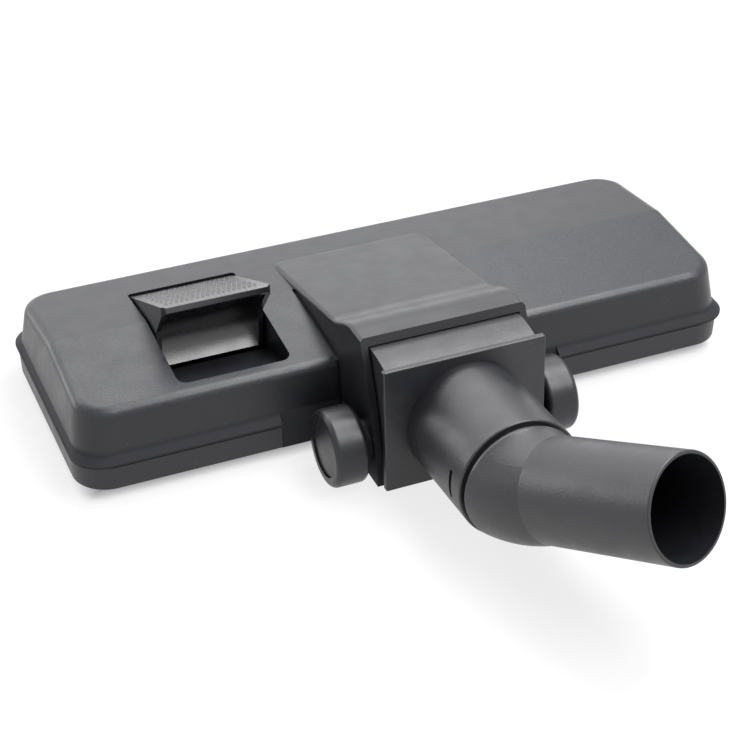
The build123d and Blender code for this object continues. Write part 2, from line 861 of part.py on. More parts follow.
# Neck: drum strip and belly between two side walls, plate, and stub for the elbow
with BuildPart() as neck:
    plate_front = plate_thickness - plate_face
    drum_front = (drum_r * sin(radians(drum_front_angle)), drum_r * cos(radians(drum_front_angle)))
    drum_rear = (plate_front, sqrt(drum_r**2 - plate_front**2))
    inner_r = drum_r - drum_wall
    inner_front = (inner_r * sin(radians(drum_front_angle)), inner_r * cos(radians(drum_front_angle)))
    inner_rear = (plate_front, sqrt(inner_r**2 - plate_front**2))
    belly_rear = (-sqrt(belly_r**2 - belly_drop**2), -belly_drop)
    belly_front = (
        belly_r * cos(radians(belly_front_angle)),
        belly_r * sin(radians(belly_front_angle)),
    )
    hollow_r = belly_r - drum_wall
    hollow_drop = belly_drop - drum_wall
    hollow_rear = (-sqrt(hollow_r**2 - hollow_drop**2), -hollow_drop)
    hollow_front = (
        hollow_r * cos(radians(belly_front_angle)),
        hollow_r * sin(radians(belly_front_angle)),
    )
    with BuildSketch(neck_side_plane):
        with BuildLine():
            Polyline(drum_rear, (plate_front, -belly_drop), belly_rear)
            ThreePointArc(belly_rear, (belly_r * sin(radians(45)), -belly_r * cos(radians(45))), belly_front)
            Polyline(belly_front, inner_front, drum_front)
            ThreePointArc(drum_front, (0, drum_r), drum_rear)
        make_face()
    extrude(amount=drum_half, both=True)
    with BuildSketch(neck_side_plane):
        with BuildLine():
            Polyline(inner_rear, (plate_front, -hollow_drop), hollow_rear)
            ThreePointArc(
                hollow_rear, (hollow_r * sin(radians(45)), -hollow_r * cos(radians(45))), hollow_front
            )
            Polyline(hollow_front, belly_front, (drum_r, belly_front[1]), inner_front)
            ThreePointArc(inner_front, (0, inner_r), inner_rear)
        make_face()
    extrude(amount=drum_half - drum_wall, both=True, mode=Mode.SUBTRACT)
    with BuildSketch(stub_plane.offset(plate_face - plate_thickness)):
        with Locations((0, (plate_top + plate_bottom) / 2)):
            RectangleRounded(2 * plate_half, plate_top - plate_bottom, plate_corner_r)
    extrude(amount=plate_thickness)
    plate_back = neck.faces().sort_by(Axis(pivot, stub_plane.z_dir))[-1]
    fillet(plate_back.edges(), plate_edge_r)
    with BuildSketch(stub_plane.offset(plate_face)):
        with Locations((0, stub_rise)):
            Circle(stub_r)
    extrude(amount=stub_reach - plate_face)
    stub_rim = neck.faces().sort_by(Axis(pivot, stub_plane.z_dir))[-1]
    fillet(stub_rim.edges(), rim_edge_r)
    with BuildSketch(stub_plane.offset(plate_face - plate_thickness)):
        with Locations((0, stub_rise)):
            Circle(stub_bore_r)
    extrude(amount=stub_reach, mode=Mode.SUBTRACT)
    with BuildSketch(joint_plane.offset(-clip_behind_rim - clip_clearance)):
        with Locations((-stub_r, 0), (stub_r, 0)):
            Rectangle(stub_r, slit_length)
    extrude(amount=clip_thickness + 2 * clip_clearance, mode=Mode.SUBTRACT)
    add(rod(pivot_y, pivot_z, axle_r + running_clearance, -drum_half, drum_half), mode=Mode.SUBTRACT)

# Snap ring that holds the elbow: its tabs sit in the slits of the stub
with BuildPart() as swivel_clip:
    with BuildSketch(joint_plane.offset(-clip_behind_rim)):
        Circle(stub_bore_r)
        with Locations((-stub_bore_r, 0), (stub_bore_r, 0)):
            Rectangle(2 * (tab_r - stub_bore_r), slit_length - 2 * clip_clearance)
        Circle(stub_bore_r - clip_width, mode=Mode.SUBTRACT)
        with Locations((0, -stub_bore_r)):
            Rectangle(clip_gap, stub_bore_r, mode=Mode.SUBTRACT)
    extrude(amount=clip_thickness)

# Elbow: spigot in the stub, collar, bend and wand socket
with BuildPart() as elbow:
    with BuildSketch(joint_plane.offset(-spigot_length)):
        Circle(stub_bore_r - running_clearance)
    extrude(amount=spigot_length + joint_gap)
    with BuildSketch(joint_plane.offset(-clip_behind_rim - clip_clearance)):
        Circle(stub_bore_r)
        Circle(stub_bore_r - clip_width - clip_clearance, mode=Mode.SUBTRACT)
    extrude(amount=clip_thickness + 2 * clip_clearance, mode=Mode.SUBTRACT)
    with BuildSketch(joint_plane.offset(joint_gap)):
        Circle(collar_r)
    extrude(amount=collar_width)
    collar_edge = elbow.edges().filter_by(GeomType.CIRCLE).group_by(SortBy.RADIUS)[-1]
    fillet(collar_edge.sort_by(Axis(joint_centre, joint_plane.z_dir))[0], rim_edge_r)
    with BuildSketch(elbow_plane.offset(joint_gap + collar_width)):
        Circle(collar_r)
    with BuildSketch(bend_plane):
        Circle(bend_r)
    with BuildSketch(leg_plane.offset(leg_straight_from)):
        Circle(elbow_r)
    loft()
    with BuildSketch(leg_plane.offset(leg_straight_from)):
        Circle(elbow_r)
    extrude(amount=leg_length - leg_straight_from)
    mouth_edge = elbow.edges().sort_by(Axis(mouth_plane.origin, mouth_plane.z_dir))[-1]
    fillet(mouth_edge, rim_edge_r)
    with BuildSketch(joint_plane.offset(-spigot_length)):
        Circle(elbow_bore_r)
    extrude(amount=spigot_length, mode=Mode.SUBTRACT)
    with BuildSketch(elbow_plane):
        Circle(elbow_bore_r)
    with BuildSketch(bend_plane):
        Circle(elbow_bore_r)
    with BuildSketch(leg_plane.offset(leg_straight_from)):
        Circle(elbow_bore_r)
    loft(mode=Mode.SUBTRACT)
    with BuildSketch(leg_plane.offset(leg_straight_from)):
        Circle(elbow_bore_r)
    extrude(amount=leg_length - leg_straight_from, mode=Mode.SUBTRACT)
    with BuildSketch(mouth_plane):
        Circle(socket_r)
    extrude(amount=-socket_depth, mode=Mode.SUBTRACT)

# Pedal: sloping pad over a toe pocket, hollow below, with hinge barrel and crank pin
with BuildPart() as pedal:
    waist = (rear_y + cheek_waist_from_rear, cheek_waist_z)
    pad_rear = (pad_rear_y, pad_rear_z)
    pad_heel = (pad_rear_y, pad_rear_z - pad_lip)
    pocket_floor = (pocket_floor_y, pocket_floor_z)
    pedal_outline = (
        (pad_front_y, pad_front_z),
        pad_rear,
        pad_heel,
        waist,
        pocket_floor,
        (pocket_floor_y + pocket_wall, pocket_floor_z),
        (hinge_y, hinge_z - hinge_barrel_r),
        (pad_front_y, hinge_z),
    )
    add(prism(pedal_outline, pedal_half, pedal_x))
    pad_top = pedal.faces().sort_by(Axis.Z)[-1]
    chamfer(pad_top.edges().filter_by(Axis.X, reverse=True), pad_side_chamfer)
    fillet(pedal.edges().filter_by(Axis.X).sort_by(Axis.Z)[-1], pad_edge_r)
    add(rod(hinge_y, hinge_z, hinge_barrel_r, well_x - barrel_half, well_x + barrel_half))
    pocket_start = (pad_rear_y + pad_thickness, pad_under_z(pad_rear_y + pad_thickness))
    with BuildSketch(Plane.YZ.offset(pedal_x)):
        with BuildLine():
            Spline(
                pocket_start,
                (pocket_depth_y, pocket_depth_z),
                pocket_floor,
                tangents=((1, -pad_slope), (-1, -1)),
            )
            Polyline(
                pocket_floor,
                (pad_rear_y - pad_lip, pocket_floor_z),
                (pad_rear_y - pad_lip, pocket_start[1]),
                pocket_start,
            )
        make_face()
    extrude(amount=pedal_half - pedal_cheek, both=True, mode=Mode.SUBTRACT)
    hollow_rear_y = pocket_depth_y + pocket_wall
    hollow_front_y = hinge_y - hinge_barrel_r - pocket_wall
    hollow_outline = (
        (hollow_rear_y, pad_under_z(hollow_rear_y)),
        (hollow_rear_y + pocket_wall / 4, pocket_depth_z),
        (pocket_floor_y + 1.5 * pocket_wall, pocket_floor_z),
        (pocket_floor_y + 1.5 * pocket_wall, seam_z),
        (hollow_front_y, seam_z),
        (hollow_front_y, pad_under_z(hollow_front_y)),
    )
    add(prism(hollow_outline, pedal_half - pedal_cheek, pedal_x), mode=Mode.SUBTRACT)
    arm_rear_y = crank_y - crank_arm_margin
    arm_outline = (
        (arm_rear_y, crank_z - crank_arm_margin),
        (hinge_y - hinge_barrel_r / 2, hinge_z - hinge_barrel_r / 2),
        (hinge_y - hinge_barrel_r / 2, hinge_z + hinge_barrel_r / 2),
        (arm_rear_y, pad_under_z(arm_rear_y) + pad_thickness / 4),
    )
    arm_offset = lug_thickness / 2 + lug_clearance + crank_arm_width / 2
    for arm_x in (well_x - arm_offset, well_x + arm_offset):
        add(prism(arm_outline, crank_arm_width / 2, arm_x))
    add(rod(crank_y, crank_z, crank_pin_r, well_x - arm_offset, well_x + arm_offset))
    add(
        rod(hinge_y, hinge_z, hinge_pin_r + running_clearance, well_x - barrel_half, well_x + barrel_half),
        mode=Mode.SUBTRACT,
    )

with BuildPart() as pedal_pin:
    pin_half = well_half + well_wall - press_clearance
    add(rod(hinge_y, hinge_z, hinge_pin_r, well_x - pin_half, well_x + pin_half))

# Brush carrier: two rails, cross members on the guide pins, and the lug that the pedal drives
with BuildPart() as brush_carrier:
    for brush_y in (rear_brush_y, front_brush_y):
        add(strip(brush_half, brush_y, bar_width, bar_top_z, bar_top_z + rail_height))
    for cross_x in (-spring_x, well_x, -well_x, spring_x):
        add(
            block(
                (cross_x - cross_width / 2, cross_x + cross_width / 2),
                (rear_brush_y - bar_width / 2, front_brush_y + bar_width / 2),
                (cross_z, cross_top_z),
            )
        )
    add(
        block(
            (well_x - lug_thickness / 2, well_x + lug_thickness / 2),
            (crank_y - lug_width / 2, crank_y + lug_width / 2),
            (cross_z, crank_z + lug_head),
        )
    )
    with BuildSketch(Plane.YZ.offset(well_x)):
        with Locations((crank_y, crank_z)):
            SlotCenterToCenter(pin_slot_play, 2 * (crank_pin_r + pin_slot_clearance))
    extrude(amount=lug_thickness, both=True, mode=Mode.SUBTRACT)
    add(
        posts(spring_places, guide_pin_r + running_clearance, cross_z, cross_top_z),
        mode=Mode.SUBTRACT,
    )


def brush_bar_shape(brush_y):
    """Brush bar with a groove for its bristles."""
    with BuildPart() as solid:
        add(strip(brush_half, brush_y, bar_width, bar_bottom_z, bar_top_z))
        add(
            strip(brush_half, brush_y, bristle_width, bar_bottom_z, bar_bottom_z + bristle_seat),
            mode=Mode.SUBTRACT,
        )
    return solid.part


def spring_shape(x):
    """Coil spring round the guide pin at x, between carrier and housing."""
    coil_height = spring_seat_z - cross_top_z - 2 * spring_wire_r
    with BuildPart() as solid:
        with BuildLine() as coil:
            Helix(
                coil_height / spring_turns,
                coil_height,
                spring_r,
                center=(x, channel_y, cross_top_z + spring_wire_r),
            )
        with BuildSketch(Plane(origin=coil.line @ 0, z_dir=coil.line % 0)):
            RegularPolygon(spring_wire_r, spring_wire_sides)
        sweep(is_frenet=True)
    return solid.part


# Brush rows and carrier springs
with BuildPart() as rear_brush_bar:
    add(brush_bar_shape(rear_brush_y))

with BuildPart() as front_brush_bar:
    add(brush_bar_shape(front_brush_y))

with BuildPart() as rear_bristles:
    add(strip(brush_half, rear_brush_y, bristle_width, bristle_tip_z, bar_bottom_z + bristle_seat))

with BuildPart() as front_bristles:
    add(strip(brush_half, front_brush_y, bristle_width, bristle_tip_z, bar_bottom_z + bristle_seat))

with BuildPart() as carrier_spring_left:
    add(spring_shape(-spring_x))

with BuildPart() as carrier_spring_right:
    add(spring_shape(spring_x))

# Export
os.makedirs("parts", exist_ok=True)

top_housing.part.label = "top_housing"
export_step(top_housing.part, "parts/top_housing.step")

base_tray.part.label = "base_tray"
export_step(base_tray.part, "parts/base_tray.step")

sole_plate.part.label = "sole_plate"
export_step(sole_plate.part, "parts/sole_plate.step")

rear_lint_strip.part.label = "rear_lint_strip"
export_step(rear_lint_strip.part, "parts/rear_lint_strip.step")

front_lint_strip.part.label = "front_lint_strip"
export_step(front_lint_strip.part, "parts/front_lint_strip.step")

case_screws.part.label = "case_screws"
export_step(case_screws.part, "parts/case_screws.step")

sole_screws.part.label = "sole_screws"
export_step(sole_screws.part, "parts/sole_screws.step")

axle_left.part.label = "axle_left"
export_step(axle_left.part, "parts/axle_left.step")

axle_right.part.label = "axle_right"
export_step(axle_right.part, "parts/axle_right.step")

wheel_left.part.label = "wheel_left"
export_step(wheel_left.part, "parts/wheel_left.step")

wheel_right.part.label = "wheel_right"
export_step(wheel_right.part, "parts/wheel_right.step")

neck.part.label = "neck"
export_step(neck.part, "parts/neck.step")

swivel_clip.part.label = "swivel_clip"
export_step(swivel_clip.part, "parts/swivel_clip.step")

elbow.part.label = "elbow"
export_step(elbow.part, "parts/elbow.step")

pedal.part.label = "pedal"
export_step(pedal.part, "parts/pedal.step")

pedal_pin.part.label = "pedal_pin"
export_step(pedal_pin.part, "parts/pedal_pin.step")

brush_carrier.part.label = "brush_carrier"
export_step(brush_carrier.part, "parts/brush_carrier.step")

rear_brush_bar.part.label = "rear_brush_bar"
export_step(rear_brush_bar.part, "parts/rear_brush_bar.step")

front_brush_bar.part.label = "front_brush_bar"
export_step(front_brush_bar.part, "parts/front_brush_bar.step")

rear_bristles.part.label = "rear_bristles"
export_step(rear_bristles.part, "parts/rear_bristles.step")

front_bristles.part.label = "front_bristles"
export_step(front_bristles.part, "parts/front_bristles.step")

carrier_spring_left.part.label = "carrier_spring_left"
export_step(carrier_spring_left.part, "parts/carrier_spring_left.step")

carrier_spring_right.part.label = "carrier_spring_right"
export_step(carrier_spring_right.part, "parts/carrier_spring_right.step")
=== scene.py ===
"""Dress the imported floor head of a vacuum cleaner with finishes, small pieces and a studio."""

import json
import logging
import math
from collections.abc import Callable
from dataclasses import dataclass
from enum import Enum

import bpy
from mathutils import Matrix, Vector


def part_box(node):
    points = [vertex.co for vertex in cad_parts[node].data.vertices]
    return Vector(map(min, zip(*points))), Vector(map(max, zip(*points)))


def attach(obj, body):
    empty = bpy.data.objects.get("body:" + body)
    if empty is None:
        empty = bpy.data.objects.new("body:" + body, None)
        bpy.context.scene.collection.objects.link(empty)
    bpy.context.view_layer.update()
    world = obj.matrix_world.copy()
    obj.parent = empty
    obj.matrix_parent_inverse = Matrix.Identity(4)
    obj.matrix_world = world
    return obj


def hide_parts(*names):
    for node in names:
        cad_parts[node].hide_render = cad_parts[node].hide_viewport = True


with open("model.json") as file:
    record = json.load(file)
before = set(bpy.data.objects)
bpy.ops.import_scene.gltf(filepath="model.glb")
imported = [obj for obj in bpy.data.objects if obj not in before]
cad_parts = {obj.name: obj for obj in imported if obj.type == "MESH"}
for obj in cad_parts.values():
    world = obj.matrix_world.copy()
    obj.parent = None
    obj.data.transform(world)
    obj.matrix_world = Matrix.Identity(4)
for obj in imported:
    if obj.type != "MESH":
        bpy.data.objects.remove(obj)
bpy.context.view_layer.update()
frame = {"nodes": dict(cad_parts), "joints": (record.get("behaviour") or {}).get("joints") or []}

LOG = logging.getLogger("floor_head")
MM = 0.001
NOISE_RANGE = (0.3, 0.7)
WHITE = (1.0, 1.0, 1.0, 1.0)

Triple = tuple[float, float, float]
Span = tuple[float, float]
Value = float | bpy.types.NodeSocket
Colour = Triple | bpy.types.NodeSocket


class GrainZone(Enum):
    """Where the spark-eroded grain of a moulding shows."""

    ALL_OVER = "all_over"
    REAR_ROOF = "rear_roof"


class Row(Enum):
    """Rows of the sole, by the word that starts their nodes' names."""

    REAR = "rear"
    FRONT = "front"


class ScrewHead(Enum):
    """Form of a screw's head."""

    PAN = "pan"
    COUNTERSUNK = "countersunk"


def joint_place(name: str) -> Vector:
    """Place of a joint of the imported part.

    Args:
        name: Name of the joint.

    Returns:
        The joint's place in metres.
    """
    return Vector(next(joint["pos_m"] for joint in frame["joints"] if joint["name"] == name))


class Bench:
    """Short calls for modelling by operators, one piece at a time."""

    @staticmethod
    def clear() -> None:
        """Deselect every object."""
        bpy.ops.object.select_all(action="DESELECT")

    @staticmethod
    def pick(item: bpy.types.Object) -> None:
        """Make a piece the only selected and active object.

        Args:
            item: Piece to work on.
        """
        Bench.clear()
        item.select_set(True)
        bpy.context.view_layer.objects.active = item

    @staticmethod
    def select(item: bpy.types.Object, test: Callable[[Vector], bool]) -> None:
        """Go to edit mode with the vertices selected that pass a test on their place.

        Args:
            item: Piece to edit.
            test: Says for a place whether its vertex is selected.
        """
        Bench.pick(item)
        bpy.ops.object.mode_set(mode="EDIT")
        bpy.ops.mesh.select_mode(type="VERT")
        bpy.ops.mesh.select_all(action="DESELECT")
        bpy.ops.object.mode_set(mode="OBJECT")
        for vertex in item.data.vertices:
            vertex.select = test(vertex.co)
        bpy.ops.object.mode_set(mode="EDIT")

    @staticmethod
    def leave() -> None:
        """Go back to object mode."""
        bpy.ops.object.mode_set(mode="OBJECT")

    @staticmethod
    def array(item: bpy.types.Object, count: int, step: Triple) -> None:
        """Repeat a piece at an even step and apply the result.

        Args:
            item: Piece to repeat.
            count: Number of copies, with the first.
            step: Offset from one copy to the next.
        """
        Bench.pick(item)
        repeat = item.modifiers.new("repeat", "ARRAY")
        repeat.count = count
        repeat.use_relative_offset = False
        repeat.use_constant_offset = True
        repeat.constant_offset_displace = step
        bpy.ops.object.modifier_apply(modifier=repeat.name)

    @staticmethod
    def bevel(item: bpy.types.Object, width: float, segments: int = 2) -> None:
        """Round the sharp edges of a piece.

        Args:
            item: Piece to round.
            width: Width of the rounding.
            segments: Faces across the rounding.
        """
        Bench.pick(item)
        rounding = item.modifiers.new("rounding", "BEVEL")
        rounding.width = width
        rounding.segments = segments
        rounding.limit_method = "ANGLE"
        bpy.ops.object.modifier_apply(modifier=rounding.name)

    @staticmethod
    def cut(item: bpy.types.Object, tool: bpy.types.Object) -> None:
        """Cut a tool's shape out of a piece and throw the tool away.

        Args:
            item: Piece to cut.
            tool: Shape to take out of it.
        """
        Bench.pick(item)
        recess = item.modifiers.new("recess", "BOOLEAN")
        recess.operation = "DIFFERENCE"
        recess.object = tool
        bpy.ops.object.modifier_apply(modifier=recess.name)
        bpy.data.objects.remove(tool)

    @staticmethod
    def settle(item: bpy.types.Object, place: Vector, turn: Triple = (0.0, 0.0, 0.0)) -> None:
        """Put a piece in its place and keep that place in its mesh.

        Args:
            item: Piece to place.
            place: Where the piece's own origin goes.
            turn: Rotation about the three axes.
        """
        Bench.pick(item)
        item.location = place
        item.rotation_euler = turn
        bpy.ops.object.transform_apply(location=True, rotation=True, scale=True)

    @staticmethod
    def copy(item: bpy.types.Object, shift: Vector) -> bpy.types.Object:
        """Copy a piece with its own mesh, moved in its mesh.

        Args:
            item: Piece to copy.
            shift: How far the copy is moved.

        Returns:
            The copy.
        """
        Bench.pick(item)
        bpy.ops.object.duplicate(linked=False)
        twin = bpy.context.object
        Bench.settle(twin, shift)
        return twin

    @staticmethod
    def join(name: str, items: list[bpy.types.Object]) -> bpy.types.Object:
        """Join pieces into one.

        Args:
            name: Name of the joined piece.
            items: Pieces to join; the first one takes in the rest.

        Returns:
            The joined piece.
        """
        Bench.clear()
        for item in items:
            item.select_set(True)
        bpy.context.view_layer.objects.active = items[0]
        bpy.ops.object.join()
        items[0].name = name
        return items[0]

    @staticmethod
    def paint(item: bpy.types.Object, material: bpy.types.Material) -> None:
        """Give a piece or a CAD node its finish.

        Args:
            item: Piece or node.
            material: Finish to assign.
        """
        item.data.materials.clear()
        item.data.materials.append(material)

    @staticmethod
    def mount(item: bpy.types.Object, body: str, slot: str, smooth_angle: float = 40.0) -> None:
        """Smooth a finished piece and fasten it to a body of the part.

        Args:
            item: Finished piece.
            body: Body that it rides on.
            slot: Material slot of the record; not used.
            smooth_angle: Sharpest angle that is shaded smooth, in degrees.
        """
        Bench.pick(item)
        bpy.ops.object.shade_smooth_by_angle(angle=math.radians(smooth_angle))
        Bench.clear()
        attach(item, body)
        LOG.info("%s rides on %s", item.name, body)


class NodeTree:
    """A material's node tree with short calls for adding and joining nodes."""

    def __init__(self, name: str) -> None:
        """Start an empty material.

        Args:
            name: Name of the material.
        """
        self.material = bpy.data.materials.new(name)
        self.material.use_nodes = True
        self.tree = self.material.node_tree
        self.tree.nodes.clear()
        self.output = self.tree.nodes.new("ShaderNodeOutputMaterial")

    def add(self, kind: str, values: dict | None = None, **settings: str) -> bpy.types.Node:
        """Add a node, set its plain properties and fill or link its sockets.

        Args:
            kind: Blender's name for the node type.
            values: Socket name or index to a value or to another node's output.
            settings: Plain properties of the node.

        Returns:
            The new node.
        """
        node = self.tree.nodes.new(kind)
        for key, value in settings.items():
            setattr(node, key, value)
        for socket, value in (values or {}).items():
            if isinstance(value, bpy.types.NodeSocket):
                self.tree.links.new(value, node.inputs[socket])
            else:
                node.inputs[socket].default_value = value
        return node

    def math(self, operation: str, first: Value, second: Value = 0.0) -> bpy.types.NodeSocket:
        """Add a maths node.

        Args:
            operation: Name of the operation.
            first: First value or socket.
            second: Second value or socket.

        Returns:
            The result's socket.
        """
        return self.add("ShaderNodeMath", {0: first, 1: second}, operation=operation).outputs[0]

    def spread(
        self, source: Value, low: float, high: float, to_low: float, to_high: float
    ) -> bpy.types.NodeSocket:
        """Map a value from one range to another, clamped.

        Args:
            source: Socket to map.
            low: Start of the source range.
            high: End of the source range.
            to_low: Start of the result range.
            to_high: End of the result range.

        Returns:
            The mapped socket.
        """
        values = {0: source, 1: low, 2: high, 3: to_low, 4: to_high}
        return self.add("ShaderNodeMapRange", values).outputs[0]

    def mix(self, share: Value, first: Colour, second: Colour) -> bpy.types.NodeSocket:
        """Mix two colours, each a socket or three channels.

        Args:
            share: Share of the second colour.
            first: First colour.
            second: Second colour.

        Returns:
            The mixed colour's socket.
        """
        ends = [c if isinstance(c, bpy.types.NodeSocket) else (*c, 1.0) for c in (first, second)]
        return self.add("ShaderNodeMix", {0: share, 6: ends[0], 7: ends[1]}, data_type="RGBA").outputs[2]

    def noise(
        self, scale: float, detail: float = 2.0, stretch: Triple | None = None
    ) -> bpy.types.NodeSocket:
        """Add noise on object coordinates.

        Args:
            scale: Noise scale per metre.
            detail: Octaves of detail.
            stretch: Scale along each axis, where it isn't even.

        Returns:
            The noise value's socket.
        """
        place = self.place()
        if stretch is not None:
            place = self.add("ShaderNodeMapping", {"Vector": place, "Scale": stretch}).outputs[0]
        values = {"Vector": place, "Scale": scale, "Detail": detail}
        return self.add("ShaderNodeTexNoise", values).outputs[0]

    def place(self) -> bpy.types.NodeSocket:
        """Give the object coordinates."""
        return self.add("ShaderNodeTexCoord").outputs["Object"]

    def axes(self) -> bpy.types.bpy_prop_collection:
        """Give the three object coordinates one by one."""
        return self.add("ShaderNodeSeparateXYZ", {0: self.place()}).outputs

    def bump(self, height: Value, strength: Value, depth: float) -> bpy.types.NodeSocket:
        """Turn a height into a surface direction.

        Args:
            height: Socket with the height.
            strength: Strength as a value or socket.
            depth: Depth of the relief in metres.

        Returns:
            The direction's socket.
        """
        values = {"Strength": strength, "Distance": depth, "Height": height}
        return self.add("ShaderNodeBump", values).outputs[0]

    def finish(self, shader: bpy.types.Node) -> bpy.types.Material:
        """Join the shader to the output and return the material."""
        self.tree.links.new(shader.outputs[0], self.output.inputs["Surface"])
        return self.material


@dataclass(frozen=True)
class MouldedPlastic:
    """Dyed moulded plastic with mould grain, uneven gloss and a little dust."""

    name: str
    colour: Triple = (0.0115, 0.012, 0.0155)
    shade_scale: float = 38.0
    shade_spread: float = 0.14
    roughness: float = 0.37
    roughness_spread: float = 0.05
    gloss_scale: float = 110.0
    gloss_detail: float = 4.0
    shine: float = 0.5
    refraction: float = 1.5
    grain_scale: float = 1500.0
    grain_detail: float = 3.0
    grain_range: Span = (0.35, 0.65)
    grain_depth: float = 0.5
    smooth_depth: float = 0.1
    relief: float = 0.1 * MM
    dust: float = 0.18
    dust_colour: Triple = (0.3, 0.3, 0.29)
    speck_scale: float = 900.0
    speck_detail: float = 1.0
    speck_range: Span = (0.76, 0.82)
    foot_z: float = 0.0
    foot_edge: float = 1.5 * MM
    foot_roughness: float = 0.7
    foot_shine: float = 0.34
    zone: GrainZone = GrainZone.ALL_OVER
    ridge_before_pivot: float = 70.5 * MM
    hood_half: float = 33.0 * MM
    roof_z: float = 33.4 * MM
    zone_edge: float = 0.6 * MM
    zone_lift: float = 1.6

    def tint(self, share: float) -> Triple:
        """Give the dye at a share of its brightness."""
        return tuple(share * channel for channel in self.colour)

    def material(self) -> bpy.types.Material:
        """Build the material.

        Returns:
            The finished material.
        """
        nodes = NodeTree(self.name)
        grain = nodes.noise(self.grain_scale, self.grain_detail)
        dark, light = self.tint(1.0 - self.shade_spread), self.tint(1.0 + self.shade_spread)
        base = nodes.mix(nodes.noise(self.shade_scale, self.grain_detail), dark, light)
        depth = self.grain_depth
        if self.zone is GrainZone.REAR_ROOF:
            mask = self.rear_roof(nodes)
            depth = nodes.spread(mask, 0.0, 1.0, self.smooth_depth, self.grain_depth)
            peaks = nodes.spread(grain, *self.grain_range, 0.0, 1.0)
            base = nodes.mix(mask, base, nodes.mix(peaks, dark, self.tint(1.0 + self.zone_lift)))
        dusting = nodes.noise(self.speck_scale, self.speck_detail)
        specks = nodes.spread(dusting, *self.speck_range, 0.0, self.dust)
        low, high = self.roughness - self.roughness_spread, self.roughness + self.roughness_spread
        gloss = nodes.spread(nodes.noise(self.gloss_scale, self.gloss_detail), *NOISE_RANGE, low, high)
        sockets = {
            "Base Color": nodes.mix(specks, base, self.dust_colour),
            "Roughness": gloss,
            "Normal": nodes.bump(grain, depth, self.relief),
            "IOR": self.refraction,
        }
        if self.foot_z > 0.0:
            above = self.above_foot(nodes)
            matt = nodes.spread(above, 0.0, 1.0, self.foot_roughness, 0.0)
            sockets["Roughness"] = nodes.math("MAXIMUM", gloss, matt)
            sockets["Specular IOR Level"] = nodes.spread(above, 0.0, 1.0, self.foot_shine, self.shine)
        return nodes.finish(nodes.add("ShaderNodeBsdfPrincipled", sockets))

    def above_foot(self, nodes: NodeTree) -> bpy.types.NodeSocket:
        """Mask of what lies above the matt foot that runs round the lower edge.

        Args:
            nodes: Tree of the material.

        Returns:
            A socket that is 0 on the foot and 1 above it.
        """
        return nodes.spread(nodes.axes()[2], self.foot_z, self.foot_z + self.foot_edge, 0.0, 1.0)

    def rear_roof(self, nodes: NodeTree) -> bpy.types.NodeSocket:
        """Mask of the roof behind the ridge, beside the hood.

        Args:
            nodes: Tree of the material.

        Returns:
            A socket that is 1 on the rear roof and 0 elsewhere.
        """
        ridge_y = joint_place("neck_pitch").y + self.ridge_before_pivot
        across, along, up = nodes.axes()
        behind = nodes.spread(along, ridge_y - self.zone_edge, ridge_y, 1.0, 0.0)
        side = nodes.math("ABSOLUTE", across)
        beside = nodes.spread(side, self.hood_half, self.hood_half + self.zone_edge, 0.0, 1.0)
        above = nodes.spread(up, self.roof_z - self.zone_edge, self.roof_z, 0.0, 1.0)
        return nodes.math("MULTIPLY", nodes.math("MULTIPLY", behind, beside), above)


@dataclass(frozen=True)
class PressedSteel:
    """Sheet or turned steel with drawn scratches and uneven gloss."""

    name: str
    colour: Triple = (0.56, 0.56, 0.57)
    worn_share: float = 0.62
    roughness: float = 0.3
    smoother: float = 0.08
    rougher: float = 0.1
    gloss_scale: float = 60.0
    gloss_detail: float = 4.0
    drawn: Triple = (0.02, 1.0, 1.0)
    line_scale: float = 900.0
    line_range: Span = (0.25, 0.6)
    scratch: float = 0.15
    scratch_depth: float = 0.05 * MM

    def material(self) -> bpy.types.Material:
        """Build the material.

        Returns:
            The finished material.
        """
        nodes = NodeTree(self.name)
        lines = nodes.noise(self.line_scale, stretch=self.drawn)
        worn = tuple(self.worn_share * channel for channel in self.colour)
        low, high = self.roughness - self.smoother, self.roughness + self.rougher
        gloss = nodes.noise(self.gloss_scale, self.gloss_detail)
        shader = nodes.add(
            "ShaderNodeBsdfPrincipled",
            {
                "Base Color": nodes.mix(nodes.spread(lines, *self.line_range, 0.0, 1.0), worn, self.colour),
                "Metallic": 1.0,
                "Roughness": nodes.spread(gloss, *NOISE_RANGE, low, high),
                "Normal": nodes.bump(lines, self.scratch, self.scratch_depth),
            },
        )
        return nodes.finish(shader)


@dataclass(frozen=True)
class DyedFibre:
    """Bristle or pile fibre, paler towards its tips."""

    name: str
    root: Triple
    tip: Triple
    root_z: float
    tip_z: float
    strand_scale: float = 1400.0
    strand_detail: float = 1.0
    strand_shade: Span = (0.5, 1.0)
    roughness: float = 0.55
    roughness_spread: float = 0.1
    sheen: float = 0.3

    def material(self) -> bpy.types.Material:
        """Build the material.

        Returns:
            The finished material.
        """
        nodes = NodeTree(self.name)
        along = nodes.spread(nodes.axes()[2], self.tip_z, self.root_z, 1.0, 0.0)
        strand = nodes.noise(self.strand_scale, self.strand_detail)
        shade = nodes.math("MULTIPLY", along, nodes.spread(strand, *NOISE_RANGE, *self.strand_shade))
        low, high = self.roughness - self.roughness_spread, self.roughness + self.roughness_spread
        shader = nodes.add(
            "ShaderNodeBsdfPrincipled",
            {
                "Base Color": nodes.mix(shade, self.root, self.tip),
                "Roughness": nodes.spread(strand, *NOISE_RANGE, low, high),
                "Sheen Weight": self.sheen,
            },
        )
        return nodes.finish(shader)


